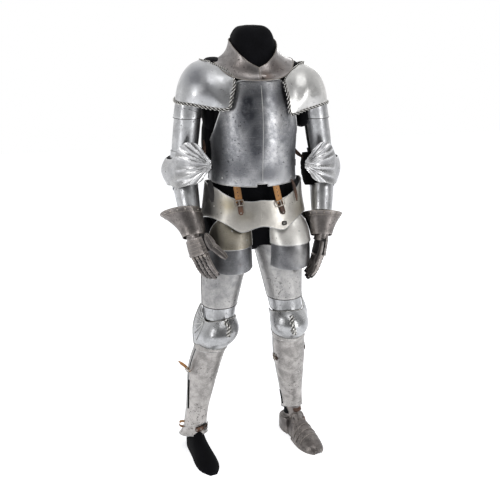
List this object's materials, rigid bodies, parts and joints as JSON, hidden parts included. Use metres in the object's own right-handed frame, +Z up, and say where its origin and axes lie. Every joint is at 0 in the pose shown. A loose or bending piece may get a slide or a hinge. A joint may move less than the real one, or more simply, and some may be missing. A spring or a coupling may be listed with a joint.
{
  "type": "suit of armour",
  "caption": "Polished plate armour without a helmet, worn by a padded black display figure standing with its arms slightly bent.",
  "frame": {"origin": "middle of the footprint of the whole object, on the floor under the soles", "axes": "+Z up, the figure faces -Y, its right side is at -X"},
  "size_m": [0.6626, 0.3438, 1.55],
  "materials": {
    "bright_steel": "polished with worn, mottled patches",
    "grey_steel": "dull grey, satin",
    "dark_steel": "dark brown-grey patina, satin",
    "jersey": "black knitted cover, matte",
    "glove_leather": "black leather, soft",
    "tan_leather": "tan leather, smooth"
  },
  "bodies": {
    "figure": {"dummy_leg_left": "jersey", "cuisse_left": "bright_steel", "knee_lame_upper_left": "bright_steel", "poleyn_left": "bright_steel", "knee_lame_lower_left": "bright_steel", "greave_front_left": "bright_steel", "greave_back_left": "grey_steel", "dummy_upper_arm_left": "jersey", "arm_lame_left": "bright_steel", "upper_cannon_left": "bright_steel", "elbow_lame_upper_left": "bright_steel", "sabaton_front": "dark_steel", "sabaton_heel": "dark_steel", "dummy_torso": "jersey", "breastplate": "bright_steel", "backplate": "bright_steel", "gorget_right": "dark_steel", "gorget_left": "dark_steel", "fauld": "bright_steel", "culet": "grey_steel", "fauld_strap_right": "tan_leather", "fauld_strap_left": "tan_leather", "side_strap_right": "tan_leather", "side_strap_left": "tan_leather", "dummy_leg_right": "jersey", "cuisse_right": "bright_steel", "knee_lame_upper_right": "bright_steel", "poleyn_right": "bright_steel", "knee_lame_lower_right": "bright_steel", "greave_front_right": "bright_steel", "greave_back_right": "grey_steel", "dummy_upper_arm_right": "jersey", "arm_lame_right": "bright_steel", "upper_cannon_right": "bright_steel", "elbow_lame_upper_right": "bright_steel"},
    "pauldron_right": {"pauldron_right": "bright_steel"},
    "couter_right": {"couter_right": "bright_steel"},
    "forearm_right": {"dummy_forearm_right": "jersey", "elbow_lame_lower_right": "bright_steel", "lower_cannon_right": "bright_steel", "gauntlet_cuff_right": "dark_steel"},
    "hand_right": {"hand_plate_right": "dark_steel", "glove_palm_right": "glove_leather"},
    "thumb_right": {"thumb_plate_right": "dark_steel"},
    "fingers_right": {"finger_plates_right": "dark_steel"},
    "tasset_right": {"tasset_upper_right": "bright_steel", "tasset_lower_right": "grey_steel"},
    "pauldron_left": {"pauldron_left": "bright_steel"},
    "couter_left": {"couter_left": "bright_steel"},
    "forearm_left": {"dummy_forearm_left": "jersey", "elbow_lame_lower_left": "bright_steel", "lower_cannon_left": "bright_steel", "gauntlet_cuff_left": "dark_steel"},
    "hand_left": {"hand_plate_left": "dark_steel", "glove_palm_left": "glove_leather"},
    "thumb_left": {"thumb_plate_left": "dark_steel"},
    "fingers_left": {"finger_plates_left": "dark_steel"},
    "tasset_left": {"tasset_upper_left": "bright_steel", "tasset_lower_left": "grey_steel"},
    "turn_stud": {"gorget_turn_stud": "dark_steel"}
  },
  "joints": [
    {"name": "pauldron_lift_right", "type": "hinge", "parent": "figure", "child": "pauldron_right", "pos_m": [-0.16906, 0.03331, 1.444], "axis": [0, 1, 0], "range_deg": [0, 30]},
    {"name": "elbow_right", "type": "hinge", "parent": "figure", "child": "forearm_right", "pos_m": [-0.23706, 0.05131, 1.085], "axis": [-0.766, -0.6428, 0], "range_deg": [0, 40]},
    {"name": "couter_right", "type": "hinge", "parent": "figure", "child": "couter_right", "pos_m": [-0.23706, 0.05131, 1.085], "axis": [-0.766, -0.6428, 0], "range_deg": [0, 20]},
    {"name": "wrist_right", "type": "hinge", "parent": "forearm_right", "child": "hand_right", "pos_m": [-0.22706, -0.08369, 0.887], "axis": [0.5171, -0.7385, 0.4326], "range_deg": [-15, 8]},
    {"name": "fingers_right", "type": "hinge", "parent": "hand_right", "child": "fingers_right", "pos_m": [-0.21006, -0.10869, 0.824], "axis": [0.5171, -0.7385, 0.4326], "range_deg": [-25, 10]},
    {"name": "thumb_right", "type": "hinge", "parent": "hand_right", "child": "thumb_right", "pos_m": [-0.19656, -0.10758, 0.88142], "axis": [-0.2433, 0.3578, 0.9016], "range_deg": [0, 30]},
    {"name": "tasset_right", "type": "hinge", "parent": "figure", "child": "tasset_right", "pos_m": [-0.09806, -0.08009, 0.929], "axis": [-1, 0, 0], "range_deg": [0, 12]},
    {"name": "pauldron_lift_left", "type": "hinge", "parent": "figure", "child": "pauldron_left", "pos_m": [0.16894, 0.03331, 1.43], "axis": [0, -1, 0], "range_deg": [0, 30]},
    {"name": "elbow_left", "type": "hinge", "parent": "figure", "child": "forearm_left", "pos_m": [0.25994, 0.05131, 1.066], "axis": [-0.9962, 0.0872, 0], "range_deg": [0, 20]},
    {"name": "couter_left", "type": "hinge", "parent": "figure", "child": "couter_left", "pos_m": [0.25994, 0.05131, 1.066], "axis": [-0.9962, 0.0872, 0], "range_deg": [0, 10]},
    {"name": "wrist_left", "type": "hinge", "parent": "forearm_left", "child": "hand_left", "pos_m": [0.22894, -0.05669, 0.848], "axis": [-0.1024, 0.9743, -0.2006], "range_deg": [-10, 4]},
    {"name": "fingers_left", "type": "hinge", "parent": "hand_left", "child": "fingers_left", "pos_m": [0.20994, -0.07269, 0.78], "axis": [-0.1024, 0.9743, -0.2006], "range_deg": [-25, 10]},
    {"name": "thumb_left", "type": "hinge", "parent": "hand_left", "child": "thumb_left", "pos_m": [0.21567, -0.09203, 0.83767], "axis": [-0.2624, -0.221, -0.9393], "range_deg": [0, 30]},
    {"name": "tasset_left", "type": "hinge", "parent": "figure", "child": "tasset_left", "pos_m": [0.10994, -0.07669, 0.929], "axis": [-1, 0, 0], "range_deg": [0, 12]},
    {"name": "turn_stud", "type": "hinge", "parent": "figure", "child": "turn_stud", "pos_m": [0.01099, -0.07582, 1.39722], "axis": [0.0419, -0.7404, 0.6709], "range_deg": [0, 90]}
  ],
  "couplings": [
    {"joint": "couter_right", "follows": "elbow_right", "ratio": 0.5},
    {"joint": "couter_left", "follows": "elbow_left", "ratio": 0.5}
  ]
}
